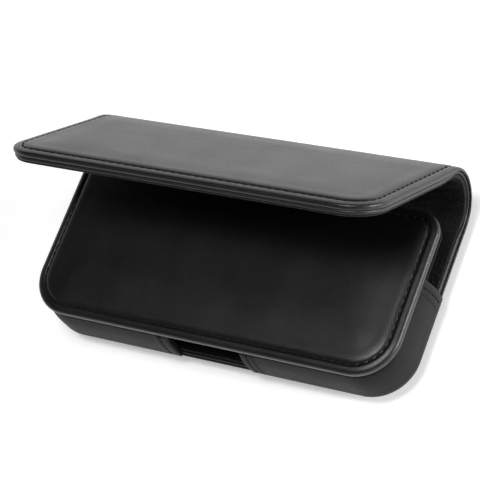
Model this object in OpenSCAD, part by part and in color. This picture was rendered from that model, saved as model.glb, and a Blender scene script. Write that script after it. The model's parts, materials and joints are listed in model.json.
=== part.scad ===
// Horizontal leather belt pouch with a padded wrap-over flap, lying on its back.
// X runs across the pouch, +Y runs up it from the bottom edge to the fold, and
// +Z points out of the front panel. The origin is on the surface that the belt
// loops rest on, below the middle of the pouch. All sizes are in millimetres.

/* [Case] */
// Width of the front panel, the back panel and the flap
case_w = 142; // [120:1:172]
// Height from the bottom edge to the crest of the fold
case_h = 78; // [65:1:100]
// Radius of the bottom corners
bottom_r = 15; // [10:0.5:20]
// Radius of the front panel's upper corners
mouth_r = 8; // [3:0.5:12]
// How far the front panel's upper edge stays below the centre of the fold
mouth_drop = 4; // [2:0.5:8]
// Clear depth between the front lining and the back lining
room_d = 9.7; // [6:0.1:16]

/* [Layers] */
// Thickness of the outer leather
skin_t = 1.2; // [0.8:0.1:1.8]
// Thickness of the leather backing under a padded panel
backing_t = 1.3; // [0.8:0.1:2]
// Thickness of the backing inside the back leather
back_backing_t = 0.8; // [0.5:0.1:1.5]
// Thickness of the stiffening boards and of what shares their layer
board_t = 1.2; // [0.8:0.1:2]
// Thickness of the linings
lining_t = 0.8; // [0.5:0.1:1.4]
// How far the edge of a backing stays inside the leather's edge
backing_set = 0.3; // [0.1:0.1:1]
// How far the edge of a lining stays inside the leather's edge
lining_set = 0.6; // [0.2:0.1:1.5]

/* [Padding] */
// Width of the turned leather edge around a foam pad
rim_w = 2; // [1.4:0.1:4]
// Distance from the edge to the shoulder of the padding
shoulder_w = 5; // [4.8:0.1:8]
// Rise of the front panel's padding above its turned edge
front_crown = 1.2; // [0.6:0.1:2.4]
// Rise of the flap's padding above its turned edge
flap_crown = 1; // [0.6:0.1:2.4]

/* [Gusset] */
// Thickness of the gusset leather
gusset_t = 1.4; // [0.8:0.1:2]
// Thickness of the lining inside the gusset
gusset_lining_t = 0.6; // [0.4:0.1:1]
// Height of the gussets up the sides of the case
gusset_h = 38; // [26:1:42]
// Width of the open notch between the gussets in the bottom edge
notch_w = 29; // [15:1:50]
// Width of the turned seams by which a gusset joins the panels
seam_w = 7; // [4:0.5:9]
// Gap between a turned seam and the board beside it
seam_gap = 1; // [0.5:0.1:2]

/* [Fold and flap] */
// Angle between the flap and the front panel
flap_open = 49.5; // [30:0.5:90]
// Extra radius that the soft fold keeps over a tight one
fold_slack = 1.45; // [0.6:0.05:3]
// Thickness of the backing inside the fold
fold_backing_t = 1; // [0.5:0.1:1.4]
// Thickness of the plush lining inside the fold
fold_lining_t = 1.4; // [0.8:0.1:1.6]
// Height of the closed flap's free edge above the bottom edge
flap_margin = 8; // [2:0.5:16]
// Radius of the flap's free corners
flap_r = 12; // [6:0.5:18]
// Gap between the closed flap and the crest of the front panel
flap_gap = 0.4; // [0.3:0.1:1]
// Gap between the flap's board and the turned edge around it
board_fit = 0.2; // [0.1:0.1:1]

/* [Magnetic closure] */
// Diameter of the magnets in the flap and of their keepers
magnet_d = 14; // [8:0.5:18]
// Clearance around a magnet or a keeper in its board
magnet_fit = 0.3; // [0.1:0.1:0.6]
// Distance of the magnets from the middle of the flap
magnet_x = 38; // [20:1:46]
// Distance of the magnets' centres from the flap's free edge
magnet_edge = 14; // [13:0.5:20]

/* [Belt loops] */
// Distance of each belt loop's centre from the middle of the back
strap_x = 42; // [24:1:44]
// Distance of the belt loops' lower ends from the bottom edge
strap_low = 8; // [4:0.5:14]
// Distance of the belt loops' upper ends from the fold
strap_high = 0; // [0:0.5:6]
// Width of the belt loop straps
strap_w = 26; // [15:1:30]
// Thickness of the belt loop straps
strap_t = 1.6; // [1:0.1:2.4]
// Clear gap for the belt between a strap and the back
belt_gap = 4.4; // [4.2:0.1:7]
// Length over which a strap rises from its flat to the back
strap_rise = 4; // [3:0.5:5]
// Length of a strap's sewn ends
strap_seam = 5; // [4:0.5:6]

/* [Stitching] */
// Distance from one stitch to the next
stitch_pitch = 3; // [2:0.1:5]
// Length of one stitch
stitch_l = 2.2; // [1:0.1:2.6]
// Diameter of the thread
thread_d = 0.6; // [0.4:0.1:0.8]
// Distance of the seams from the panels' edges
stitch_in = 3.2; // [2.5:0.1:4.5]
// Distance of the hem stitches from a gusset's ends
hem_in = 2.7; // [2:0.1:4]

/* [Hidden] */
// Levels of the layers above the resting surface, from the back outwards
back_z = strap_t + belt_gap;
back_backing_z = back_z + skin_t;
back_core_z = back_backing_z + back_backing_t;
back_lining_z = back_core_z + board_t;
room_z = back_lining_z + lining_t;
front_lining_z = room_z + room_d;
front_core_z = front_lining_z + lining_t;
front_backing_z = front_core_z + board_t;
front_pad_z = front_backing_z + backing_t;
rim_h = skin_t + board_t;
front_top_z = front_pad_z + rim_h + front_crown;

// The fold: its outer radius and its centre
flap_t = rim_h + backing_t + lining_t;
fold_r = (front_top_z - back_z + flap_t) / 2 + fold_slack;
bottom_y = -case_h / 2;
fold_y = case_h / 2 - fold_r;
fold_z = back_z + fold_r;

// The hinge axis runs along X at the height fold_z and at this place along Y, so
// that the closed flap lies just clear of the front panel's crest
hinge_y = fold_y + (2 * fold_slack - flap_gap) / sin(flap_open);
hinge_foot = (hinge_y - fold_y) * cos(flap_open);

// Heights of the panels, and the place of the closure
back_h = fold_y - bottom_y;
front_h = back_h - mouth_drop;
flap_l = hinge_y - hinge_foot - bottom_y - flap_margin;
keeper_up = flap_margin + magnet_edge;

// The belt loops: the height of belt that they leave room for, and their middle
belt_h = back_h - strap_low - strap_high - 2 * (strap_rise + strap_seam);
strap_y = bottom_y + (strap_low + back_h - strap_high) / 2;

board_in = seam_w + seam_gap;
lining_in = gusset_t + gusset_lining_t;

// Smallest corner radius that an inset outline keeps
corner_min = 1;
// Share of the thread's diameter that stands out of the leather
thread_out = 0.35;
// Steps in the rise of a belt loop strap
rise_steps = 8;
// Angle between the points of the fold's wedge
wedge_step = 14.5;
$fn = 48;

leather = "#1d1d20";
soft_leather = "#2b2b2f";
lining = "#151517";
foam = "#8a8478";
board = "#6e5f4b";
steel = "#b4b7bb";
thread = "#303034";

// Everything on the case is drawn up from its bottom edge.
module on_case() {
    translate([0, bottom_y, 0]) children();
}

// Everything on the flap is drawn closed, up from its free edge, with its
// padded skin rising from z = 0, and is then swung open about the fold.
module on_flap() {
    translate([0, fold_y, fold_z])
        rotate([-flap_open, 0, 0])
            translate([0, -flap_l, fold_r - rim_h])
                children();
}

module layer(z, t) {
    translate([0, 0, z]) linear_extrude(t) children();
}

// A panel outline h high, with its sides and lower edge moved in by inset and
// its upper edge by head. A high_r of 0 leaves the upper corners square.
module outline(h, low_r, high_r, inset, head) {
    w = case_w - 2 * inset;
    r = max(low_r - inset, corner_min);
    s = high_r > 0 ? max(high_r - inset, corner_min) : 0;
    translate([-w / 2, inset + r]) square([w, h - head - s - inset - r]);
    translate([r - w / 2, inset]) square([w - 2 * r, r + corner_min]);
    for (x = [-1, 1])
        translate([x * (w / 2 - r), inset + r]) circle(r);
    if (s > 0) {
        translate([s - w / 2, h - head - s - corner_min]) square([w - 2 * s, s + corner_min]);
        for (x = [-1, 1])
            translate([x * (w / 2 - s), h - head - s]) circle(s);
    }
}

module back_outline(inset) {
    outline(back_h, bottom_r, 0, inset, 0);
}

module front_outline(inset) {
    outline(front_h, bottom_r, mouth_r, inset, inset);
}

module flap_outline(inset, head) {
    outline(flap_l, flap_r, 0, inset, head);
}

// The solid shape of a padded panel: its turned edge, and the raised pad.
module pad_outside(h, low_r, high_r, crown) {
    layer(0, rim_h) outline(h, low_r, high_r, 0, 0);
    layer(0, rim_h + crown) outline(h, low_r, high_r, shoulder_w, shoulder_w);
}

// The raised part of the space under the skin of a padded panel.
module pad_raised(h, low_r, high_r, crown) {
    inset = shoulder_w + skin_t;
    layer(board_t, crown) outline(h, low_r, high_r, inset, inset);
}

// The whole space under the skin. It starts at the height base.
module pad_inside(h, low_r, high_r, crown, base) {
    layer(base, board_t - base) outline(h, low_r, high_r, rim_w, rim_w);
    pad_raised(h, low_r, high_r, crown);
}

// The leather skin of a padded panel, open underneath.
module pad_skin(h, low_r, high_r, crown) {
    difference() {
        pad_outside(h, low_r, high_r, crown);
        pad_inside(h, low_r, high_r, crown, -skin_t);
    }
}

// A round hole or disc on each side of the middle.
module pair_of_discs(d, up) {
    for (x = [-1, 1])
        translate([x * magnet_x, up]) circle(d = d);
}

module stitch(x, y, z, turn) {
    translate([x, y, z])
        rotate([0, 0, turn])
            rotate([0, 90, 0])
                cylinder(d = thread_d, h = stitch_l, center = true, $fn = 16);
}

// Stitches in a straight line from a to b, at height z.
module stitch_run(a, b, z) {
    way = b - a;
    n = floor(norm(way) / stitch_pitch);
    for (i = [0 : n - 1]) {
        at = a + way * (i + 0.5) / n;
        stitch(at[0], at[1], z, atan2(way[1], way[0]));
    }
}

// Stitches along a quarter circle of radius r about c, from angle start.
module stitch_corner(c, r, start, z) {
    n = max(round(r * PI / 2 / stitch_pitch), 1);
    for (i = [0 : n - 1]) {
        a = start + 90 * (i + 0.5) / n;
        stitch(c[0] + r * cos(a), c[1] + r * sin(a), z, a + 90);
    }
}

// The seam around a panel. It stays open along a square upper edge.
module seam(h, low_r, high_r, z) {
    x = case_w / 2 - stitch_in;
    r = low_r - stitch_in;
    s = high_r > 0 ? high_r - stitch_in : 0;
    top = high_r > 0 ? h - stitch_in : h;
    low = stitch_in + r;
    stitch_run([r - x, stitch_in], [x - r, stitch_in], z);
    stitch_run([x, low], [x, top - s], z);
    stitch_run([-x, low], [-x, top - s], z);
    stitch_corner([r - x, low], r, 180, z);
    stitch_corner([x - r, low], r, 270, z);
    if (high_r > 0) {
        stitch_run([s - x, top], [x - s, top], z);
        stitch_corner([x - s, top - s], s, 0, z);
        stitch_corner([s - x, top - s], s, 90, z);
    }
}

module back_leather() {
    color(leather) on_case() layer(back_z, skin_t) back_outline(0);
}

module back_backing() {
    color(soft_leather) on_case() layer(back_backing_z, back_backing_t) back_outline(backing_set);
}

module back_board() {
    color(board) on_case() layer(back_core_z, board_t) outline(back_h, bottom_r, 0, board_in, seam_gap);
}

// A lining is narrow between the gussets and wide above them.
module back_lining() {
    color(lining) on_case() layer(back_lining_z, lining_t) {
        back_outline(lining_in);
        above_gussets() back_outline(lining_set);
    }
}

module back_thread() {
    color(thread) on_case()
        seam(back_h, bottom_r, 0, back_z + thread_d * (0.5 - thread_out));
}

module above_gussets() {
    intersection() {
        children();
        translate([-case_w / 2, gusset_h + seam_gap]) square([case_w, case_h]);
    }
}

// The strip of a gusset between two distances from the edge, on one side.
module gusset_strip(side, outer, inner) {
    intersection() {
        difference() {
            back_outline(outer);
            back_outline(inner);
        }
        translate([side > 0 ? notch_w / 2 : -notch_w / 2 - case_w, 0]) square([case_w, gusset_h]);
    }
}

// A gusset's wall, with a turned seam under the front panel and one on the back.
module gusset(side) {
    color(soft_leather) on_case() {
        layer(back_core_z, board_t) gusset_strip(side, 0, seam_w);
        layer(back_lining_z, front_core_z - back_lining_z) gusset_strip(side, 0, gusset_t);
        layer(front_core_z, board_t) gusset_strip(side, 0, seam_w);
    }
}

module gusset_lining(side) {
    color(lining) on_case()
        layer(room_z, room_d) gusset_strip(side, gusset_t, lining_in);
}

// The hem stitches stand up the depth of the case beside each gusset end.
module gusset_thread(side) {
    out = thread_d * (thread_out - 0.5);
    depth = front_core_z - room_z;
    color(thread) on_case()
        for (i = [0 : floor(depth / stitch_pitch) - 1]) {
            z = room_z + stitch_pitch * (i + 0.5);
            translate([side * (case_w / 2 + out), gusset_h - hem_in, z])
                cylinder(d = thread_d, h = stitch_l, center = true, $fn = 16);
            translate([side * (notch_w / 2 + hem_in), -out, z])
                cylinder(d = thread_d, h = stitch_l, center = true, $fn = 16);
        }
}

module front_lining() {
    color(lining) on_case() layer(front_lining_z, lining_t) {
        front_outline(lining_in);
        above_gussets() front_outline(lining_set);
    }
}

module front_board() {
    color(board) on_case() layer(front_core_z, board_t)
        difference() {
            front_outline(board_in);
            pair_of_discs(magnet_d + 2 * magnet_fit, keeper_up);
        }
}

module front_keeper(side) {
    color(steel) on_case()
        translate([side * magnet_x, keeper_up, front_core_z]) cylinder(d = magnet_d, h = board_t);
}

module front_backing() {
    color(soft_leather) on_case() layer(front_backing_z, backing_t) front_outline(backing_set);
}

module front_foam() {
    color(foam) on_case()
        translate([0, 0, front_pad_z])
            pad_inside(front_h, bottom_r, mouth_r, front_crown, 0);
}

module front_leather() {
    color(leather) on_case()
        translate([0, 0, front_pad_z]) pad_skin(front_h, bottom_r, mouth_r, front_crown);
}

module front_thread() {
    color(thread) on_case()
        seam(front_h, bottom_r, mouth_r,
            front_pad_z + rim_h + thread_d * (thread_out - 0.5));
}

// Depth of a strap below the back at a distance y from its middle.
function strap_drop(y) =
    let (past = min(max((abs(y) - belt_h / 2) / strap_rise, 0), 1))
    belt_gap * (1 + cos(180 * past)) / 2;

module belt_loop(side) {
    rise = [for (i = [0 : rise_steps]) belt_h / 2 + strap_rise * i / rise_steps];
    half = concat(rise, [belt_h / 2 + strap_rise + strap_seam]);
    last = len(half) - 1;
    ys = concat([for (i = [last : -1 : 0]) -half[i]], half);
    top = [for (y = ys) [y, back_z - strap_drop(y)]];
    under = [for (i = [len(ys) - 1 : -1 : 0]) [ys[i], back_z - strap_t - strap_drop(ys[i])]];
    color(leather)
        translate([side * strap_x - strap_w / 2, strap_y, 0])
            rotate([90, 0, 90])
                linear_extrude(strap_w) polygon(concat(top, under));
}

// A row of stitches across each sewn end of a strap.
module belt_loop_thread(side) {
    half = strap_w / 2 - stitch_in / 2;
    up = belt_h / 2 + strap_rise + strap_seam / 2;
    color(thread)
        translate([side * strap_x, strap_y, 0])
            for (end = [-1, 1])
                stitch_run([-half, end * up], [half, end * up],
                    back_z - strap_t + thread_d * (0.5 - thread_out));
}

// The part of a ring that the fold fills, from the back round to the flap.
module fold_layer(outer, t) {
    far = 2 * outer;
    turn = 180 - flap_open;
    n = ceil(turn / wedge_step);
    wedge = [for (i = [0 : n]) far * [cos(turn * i / n - 90), sin(turn * i / n - 90)]];
    translate([-case_w / 2, fold_y, fold_z])
        rotate([90, 0, 90])
            linear_extrude(case_w)
                intersection() {
                    difference() {
                        circle(outer, $fn = 96);
                        circle(outer - t, $fn = 96);
                    }
                    polygon(concat([[0, 0]], wedge));
                }
}

module fold_leather() {
    color(leather) fold_layer(fold_r, skin_t);
}

module fold_backing() {
    color(soft_leather) fold_layer(fold_r - skin_t, fold_backing_t);
}

module fold_lining() {
    color(lining) fold_layer(fold_r - skin_t - fold_backing_t, fold_lining_t);
}

module flap_leather() {
    color(leather) on_flap() pad_skin(flap_l, flap_r, 0, flap_crown);
}

module flap_foam() {
    color(foam) on_flap() pad_raised(flap_l, flap_r, 0, flap_crown);
}

module flap_board() {
    inset = rim_w + board_fit;
    color(board) on_flap() layer(0, board_t)
        difference() {
            flap_outline(inset, inset);
            pair_of_discs(magnet_d + 2 * magnet_fit, magnet_edge);
        }
}

module flap_magnet(side) {
    color(steel) on_flap()
        translate([side * magnet_x, magnet_edge, 0]) cylinder(d = magnet_d, h = board_t);
}

module flap_backing() {
    color(soft_leather) on_flap() layer(-backing_t, backing_t) flap_outline(backing_set, 0);
}

module flap_lining() {
    color(lining) on_flap() layer(-backing_t - lining_t, lining_t) flap_outline(lining_set, 0);
}

module flap_thread() {
    color(thread) on_flap()
        seam(flap_l, flap_r, 0, rim_h + thread_d * (thread_out - 0.5));
}

back_leather();
back_backing();
back_board();
back_lining();
back_thread();
gusset(-1);  // gusset_left
gusset(1);  // gusset_right
gusset_lining(-1);  // gusset_lining_left
gusset_lining(1);  // gusset_lining_right
gusset_thread(-1);  // gusset_thread_left
gusset_thread(1);  // gusset_thread_right
front_lining();
front_board();
front_keeper(-1);  // front_keeper_left
front_keeper(1);  // front_keeper_right
front_backing();
front_foam();
front_leather();
front_thread();
belt_loop(-1);  // belt_loop_left
belt_loop(1);  // belt_loop_right
belt_loop_thread(-1);  // belt_loop_thread_left
belt_loop_thread(1);  // belt_loop_thread_right
fold_leather();
fold_backing();
fold_lining();
flap_leather();
flap_foam();
flap_board();
flap_magnet(-1);  // flap_magnet_left
flap_magnet(1);  // flap_magnet_right
flap_backing();
flap_lining();
flap_thread();
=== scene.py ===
"""A padded leather belt pouch with a magnetic flap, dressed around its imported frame."""

import json
import logging
import math
from dataclasses import dataclass
from enum import Enum
from functools import cache
from typing import Callable, Iterable, Sequence, Union

import bmesh
import bpy
import numpy as np
from mathutils import Matrix, Vector


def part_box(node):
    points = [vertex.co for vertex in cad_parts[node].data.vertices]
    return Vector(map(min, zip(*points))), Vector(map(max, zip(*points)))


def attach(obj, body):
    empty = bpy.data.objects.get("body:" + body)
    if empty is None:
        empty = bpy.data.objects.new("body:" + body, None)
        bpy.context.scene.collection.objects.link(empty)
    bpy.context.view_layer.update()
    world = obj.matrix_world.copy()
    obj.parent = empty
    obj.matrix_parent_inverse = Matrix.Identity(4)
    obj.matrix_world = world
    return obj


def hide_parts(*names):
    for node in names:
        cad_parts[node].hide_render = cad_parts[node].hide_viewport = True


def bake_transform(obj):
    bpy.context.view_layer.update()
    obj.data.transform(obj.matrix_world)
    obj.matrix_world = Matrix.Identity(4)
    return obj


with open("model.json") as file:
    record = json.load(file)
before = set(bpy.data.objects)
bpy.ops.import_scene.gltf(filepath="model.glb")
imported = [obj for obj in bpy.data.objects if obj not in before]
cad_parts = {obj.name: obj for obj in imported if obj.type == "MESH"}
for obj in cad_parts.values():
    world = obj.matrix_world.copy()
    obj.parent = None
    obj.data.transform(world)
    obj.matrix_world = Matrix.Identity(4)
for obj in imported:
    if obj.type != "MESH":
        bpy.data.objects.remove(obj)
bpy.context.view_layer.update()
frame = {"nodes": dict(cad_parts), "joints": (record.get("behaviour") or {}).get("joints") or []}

log = logging.getLogger("pouch")

MM = 0.001
MERGE = 1e-6
CASE, FLAP = "case", "flap"
WORN, UP = "worn", "up"

Piece = bpy.types.Object
Array = np.ndarray
Height = Callable[[Array, Array, Array], Array]
Place = Callable[[Array, Array, Array], Array]


# ---- shader graph


def operation(name: str) -> tuple[Callable, Callable]:
    """Makes the two methods that one of Python's operators needs.

    Args:
        name: the Math node's operation.

    Returns:
        The plain method and the reflected one, for when the other comes first.
    """
    kind, setting = "ShaderNodeMath", {"operation": name}

    def plain(self: "Value", other: "Input") -> "Value":
        """Returns this value worked out with the other."""
        return self.graph.value(kind, setting, {0: self, 1: other})

    def reflected(self: "Value", other: "Input") -> "Value":
        """Returns the other worked out with this value."""
        return self.graph.value(kind, setting, {0: other, 1: self})

    return plain, reflected


class Value:
    """What one socket of a node gives, with Python's arithmetic on it."""

    def __init__(self, graph: "Graph", socket: bpy.types.NodeSocket) -> None:
        """Keeps the graph and the socket."""
        self.graph = graph
        self.socket = socket

    __add__, __radd__ = operation("ADD")
    __sub__, __rsub__ = operation("SUBTRACT")
    __mul__, __rmul__ = operation("MULTIPLY")
    __pow__, __rpow__ = operation("POWER")

    def clamped(self) -> "Value":
        """Returns the value held between 0 and 1."""
        return self.graph.value("ShaderNodeClamp", {}, {"Value": self})


Input = Union[Value, float, tuple]


class Graph:
    """A node tree, while it is being built."""

    def __init__(self, tree: bpy.types.NodeTree) -> None:
        """Keeps the tree."""
        self.tree = tree

    def node(self, kind: str, settings: dict, inputs: dict) -> bpy.types.Node:
        """Adds any node.

        Args:
            kind: the node's type.
            settings: its properties.
            inputs: the values or links of its sockets, by name or number.

        Returns:
            The node.
        """
        made = self.tree.nodes.new(kind)
        for key, setting in settings.items():
            setattr(made, key, setting)
        for key, given in inputs.items():
            if isinstance(given, Value):
                self.tree.links.new(given.socket, made.inputs[key])
            else:
                made.inputs[key].default_value = given
        return made

    def value(
        self, kind: str, settings: dict, inputs: dict, output: Union[str, int] = 0
    ) -> Value:
        """Returns one output of a new node, by name or number."""
        return Value(self, self.node(kind, settings, inputs).outputs[output])

    def coordinates(self, stretch: tuple = (1.0, 1.0, 1.0)) -> Value:
        """Returns the object's coordinates, scaled along each axis."""
        plain = self.value("ShaderNodeTexCoord", {}, {}, "Object")
        return self.value("ShaderNodeMapping", {}, {"Vector": plain, "Scale": stretch})

    def noise(self, at: Value, size: float, detail: float = 2.0) -> Value:
        """Returns soft noise from 0 to 1, its features size metres wide."""
        inputs = {"Vector": at, "Scale": 1 / size, "Detail": detail}
        return self.value("ShaderNodeTexNoise", {}, inputs)

    def cells(self, at: Value, size: float, feature: str = "F1") -> Value:
        """Returns a distance in a field of cells, each size metres wide."""
        inputs, settings = {"Vector": at, "Scale": 1 / size}, {"feature": feature}
        return self.value("ShaderNodeTexVoronoi", settings, inputs, "Distance")

    def mix(self, factor: Value, first: Input, second: Input) -> Value:
        """Returns two colours mixed, with factor as the share of the second."""
        inputs = {0: factor, 6: first, 7: second}
        return self.value("ShaderNodeMix", {"data_type": "RGBA"}, inputs, 2)

    def bump(self, height: Value, depth: float) -> Value:
        """Returns the normal of a height field whose height of 1 is depth metres."""
        inputs = {"Height": height, "Distance": depth, "Strength": 1.0}
        return self.value("ShaderNodeBump", {}, inputs)


# ---- finishes


def grey(level: float, warm: float = 0.0) -> tuple:
    """Returns a near-neutral colour, redder than blue by the share warm."""
    return (level * (1 + warm), level, level * (1 - warm), 1.0)


@dataclass(frozen=True)
class Finish:
    """A surface's finish; each kind says how its shader is wired."""

    name: str
    slot: str
    level: float = 0.5

    def material(self) -> bpy.types.Material:
        """Makes the finish's material, when it is first asked for.

        Returns:
            The material.
        """
        title = self.name + "_finish"
        known = bpy.data.materials.get(title)
        if known:
            return known
        made = bpy.data.materials.new(title)
        made.use_nodes = True
        made.node_tree.nodes.clear()
        graph = Graph(made.node_tree)
        surface = graph.value("ShaderNodeBsdfPrincipled", {}, self.sockets(graph))
        graph.node("ShaderNodeOutputMaterial", {}, {"Surface": surface})
        return made

    def shade(self, share: float, warm: float = 0.0) -> tuple:
        """Returns the finish's own grey, darker or lighter by a share."""
        return grey(self.level * share, warm)

    def sockets(self, graph: Graph) -> dict:
        """Returns the values and links of the shader's sockets."""
        raise NotImplementedError


@dataclass(frozen=True)
class Leather(Finish):
    """Pressed fine-grain leather with a satin top coat and rubbed edges."""

    level: float = 0.0028
    rubbed: float = 0.012
    roughness: float = 0.31
    grain: float = 0.6 * MM
    scuffs: float = 4.5 * MM
    clouds: float = 16 * MM
    depth: float = 0.04 * MM
    coat: float = 0.06
    shine: float = 0.5
    cool: float = -0.03

    def sockets(self, graph: Graph) -> dict:
        """Wires the shader.

        Args:
            graph: the material's node tree.

        Returns:
            The values and links of the shader's sockets.
        """
        at = graph.coordinates()
        creases = graph.cells(at, self.grain, "DISTANCE_TO_EDGE")
        pebbles = (creases * 3.2).clamped()
        pores = graph.noise(at, self.grain * 0.28, 3.0)
        broad = graph.noise(at, self.clouds, 3.0)
        handled = graph.noise(at, self.scuffs, 2.0)
        worn = graph.value("ShaderNodeAttribute", {"attribute_name": WORN}, {}, "Fac")
        rub = (worn * (0.4 + handled) * 0.75).clamped()
        height = pebbles * 0.62 + pores * 0.38 + handled * 0.9
        tone = (broad * 0.7 + pebbles * 0.3).clamped()
        base = graph.mix(tone, self.shade(0.75, self.cool), self.shade(1.3, self.cool))
        satin = self.roughness + (broad - 0.5) * 0.16
        return {
            "Base Color": graph.mix(rub, base, grey(self.rubbed)),
            "Roughness": satin + (1 - pebbles) * 0.12 - rub * 0.08,
            "Coat Weight": (self.coat + (broad - 0.5) * self.coat).clamped(),
            "Coat Roughness": 0.3,
            "Specular IOR Level": self.shine,
            "Normal": graph.bump(height, self.depth),
        }


@dataclass(frozen=True)
class Plush(Finish):
    """Short velvet pile, as lines a pouch, with a painted sheen on its raised tufts."""

    level: float = 0.004
    pile: float = 0.7 * MM
    brushed: float = 9 * MM
    depth: float = 0.5 * MM

    def sockets(self, graph: Graph) -> dict:
        """Wires the shader.

        Args:
            graph: the material's node tree.

        Returns:
            The values and links of the shader's sockets.
        """
        at = graph.coordinates()
        tufts = graph.noise(at, self.pile, 4.0)
        brushed = graph.noise(at, self.brushed, 2.0)
        # the raised tufts are painted lighter: a painted sheen on the pile's tips, mixed with a
        # random brushed tone
        painted_sheen_tips = ((tufts - 0.5) * 5).clamped()
        tone = (painted_sheen_tips * 0.7 + brushed * 0.3).clamped()
        return {
            "Base Color": graph.mix(tone, self.shade(0.4), self.shade(6)),
            "Roughness": 0.88 + (brushed - 0.5) * 0.14,
            "Sheen Weight": 0.25,
            "Sheen Roughness": 0.45,
            "Sheen Tint": grey(0.35),
            "Specular IOR Level": 0.25,
            "Normal": graph.bump(tufts, self.depth),
        }


@dataclass(frozen=True)
class Twine(Finish):
    """Waxed sewing thread with a visible twist."""

    level: float = 0.007
    twist: float = 0.32 * MM
    depth: float = 0.06 * MM

    def sockets(self, graph: Graph) -> dict:
        """Wires the shader.

        Args:
            graph: the material's node tree.

        Returns:
            The values and links of the shader's sockets.
        """
        at = graph.coordinates()
        bands = {"Vector": at, "Scale": 0.3 / self.twist, "Distortion": 1.5}
        strands = graph.value(
            "ShaderNodeTexWave", {"bands_direction": "DIAGONAL"}, bands, "Fac"
        )
        fibres = graph.noise(at, self.twist * 0.4, 3.0)
        tone = (strands * 0.6 + fibres * 0.4).clamped()
        return {
            "Base Color": graph.mix(tone, self.shade(0.5), self.shade(1.6)),
            "Roughness": 0.62 + fibres * 0.2,
            "Specular IOR Level": 0.12,
            "Normal": graph.bump(strands * 0.6 + fibres * 0.4, self.depth),
        }


@dataclass(frozen=True)
class Foam(Finish):
    """Open-celled padding foam."""

    level: float = 0.28
    cell: float = 0.6 * MM
    cloud: float = 6 * MM
    depth: float = 0.2 * MM

    def sockets(self, graph: Graph) -> dict:
        """Wires the shader.

        Args:
            graph: the material's node tree.

        Returns:
            The values and links of the shader's sockets.
        """
        at = graph.coordinates()
        # where the cells sink the foam is painted darker: painted shade in its pores, mottled by
        # a random cloud
        shaded_pores = (graph.cells(at, self.cell) * 1.5).clamped()
        cloud = graph.noise(at, self.cloud)
        tones = (self.shade(1.15, 0.1), grey(0.12, 0.15))
        return {
            "Base Color": graph.mix(shaded_pores * cloud, *tones),
            "Roughness": 0.82 + cloud * 0.15,
            "Normal": graph.bump(1 - shaded_pores, self.depth),
        }


@dataclass(frozen=True)
class FibreBoard(Finish):
    """Pressed grey-brown stiffening board."""

    level: float = 0.16
    fibre: float = 1.2 * MM
    fleck: float = 1.6 * MM
    depth: float = 0.08 * MM

    def sockets(self, graph: Graph) -> dict:
        """Wires the shader.

        Args:
            graph: the material's node tree.

        Returns:
            The values and links of the shader's sockets.
        """
        fibres = graph.noise(graph.coordinates((1.0, 6.0, 1.0)), self.fibre, 5.0)
        flecks = (graph.cells(graph.coordinates(), self.fleck) * 1.3).clamped()
        tones = (self.shade(0.6, 0.25), self.shade(1.4, 0.2))
        return {
            "Base Color": graph.mix(fibres, *tones),
            "Roughness": 0.7 + flecks * 0.2,
            "Normal": graph.bump(fibres, self.depth),
        }


@dataclass(frozen=True)
class Plate(Finish):
    """Bare or plated metal, with the fine lines of its rolling."""

    level: float = 0.55
    warm: float = 0.03
    roughness: float = 0.36
    line: float = 2.4 * MM
    stain: float = 3.5 * MM
    depth: float = 0.01 * MM

    def sockets(self, graph: Graph) -> dict:
        """Wires the shader.

        Args:
            graph: the material's node tree.

        Returns:
            The values and links of the shader's sockets.
        """
        lines = graph.noise(graph.coordinates((1.0, 30.0, 1.0)), self.line, 4.0)
        stains = graph.noise(graph.coordinates(), self.stain, 3.0)
        tones = (self.shade(1, self.warm), self.shade(0.7, 0.05))
        return {
            "Base Color": graph.mix(stains, *tones),
            "Metallic": 1.0,
            "Roughness": self.roughness + lines * 0.18 + (stains - 0.5) * 0.1,
            "Normal": graph.bump(lines, self.depth),
        }


@dataclass(frozen=True)
class Paper(Finish):
    """The pale sweep that the pouch lies on."""

    level: float = 0.88
    cloud: float = 40 * MM
    glow: float = 0.4

    def sockets(self, graph: Graph) -> dict:
        """Wires the shader.

        Args:
            graph: the material's node tree.

        Returns:
            The values and links of the shader's sockets.
        """
        cloud = graph.noise(graph.coordinates(), self.cloud)
        return {
            "Base Color": graph.mix(cloud, self.shade(1), grey(0.9)),
            "Roughness": 0.9,
            "Emission Color": grey(1.0),
            "Emission Strength": self.glow,
        }


OUTER_LEATHER = Leather("outer_leather", "leather")
BACKING_LEATHER = Leather(
    "backing_leather", "backing_leather", level=0.005, roughness=0.38
)
GUSSET_LEATHER = Leather(
    "gusset_leather", "gusset_leather", 0.013, 0.05, 0.5, coat=0.02, shine=0.12
)
LINING = Plush("plush_lining", "lining")
THREAD = Twine("waxed_thread", "thread")
FOAM = Foam("padding_foam", "foam")
BOARD = FibreBoard("stiffening_board", "board")
KEEPER_STEEL = Plate("keeper_steel", "keeper_steel")
MAGNET_NICKEL = Plate("magnet_nickel", "magnet", 0.68, 0.05, 0.16)
SWEEP = Paper("pale_sweep", "")


# ---- mesh tools


def ease(x: Array, low: float, high: float) -> Array:
    """Returns a smooth rise from 0 at low to 1 at high."""
    t = np.clip((x - low) / (high - low), 0, 1)
    return t * t * (3 - 2 * t)


def hump(x: Array, middle: float, width: float) -> Array:
    """Returns a smooth bell of height 1 and about the given half width."""
    return np.exp(-(((x - middle) / width) ** 2))


def swell(inset: Array, start: float, width: float, fullness: float = 2.4) -> Array:
    """Rises from a seam as stuffing does: steeply at first, then ever more gently.

    Args:
        inset: the distance from the edge.
        start: the seam's distance from the edge.
        width: how far from the seam the rise goes on.
        fullness: how steep the rise is at the seam.

    Returns:
        The rise, from 0 at the seam to 1.
    """
    t = np.clip((inset - start) / width, 0, 1)
    return 1 - (1 - t) ** fullness


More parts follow.
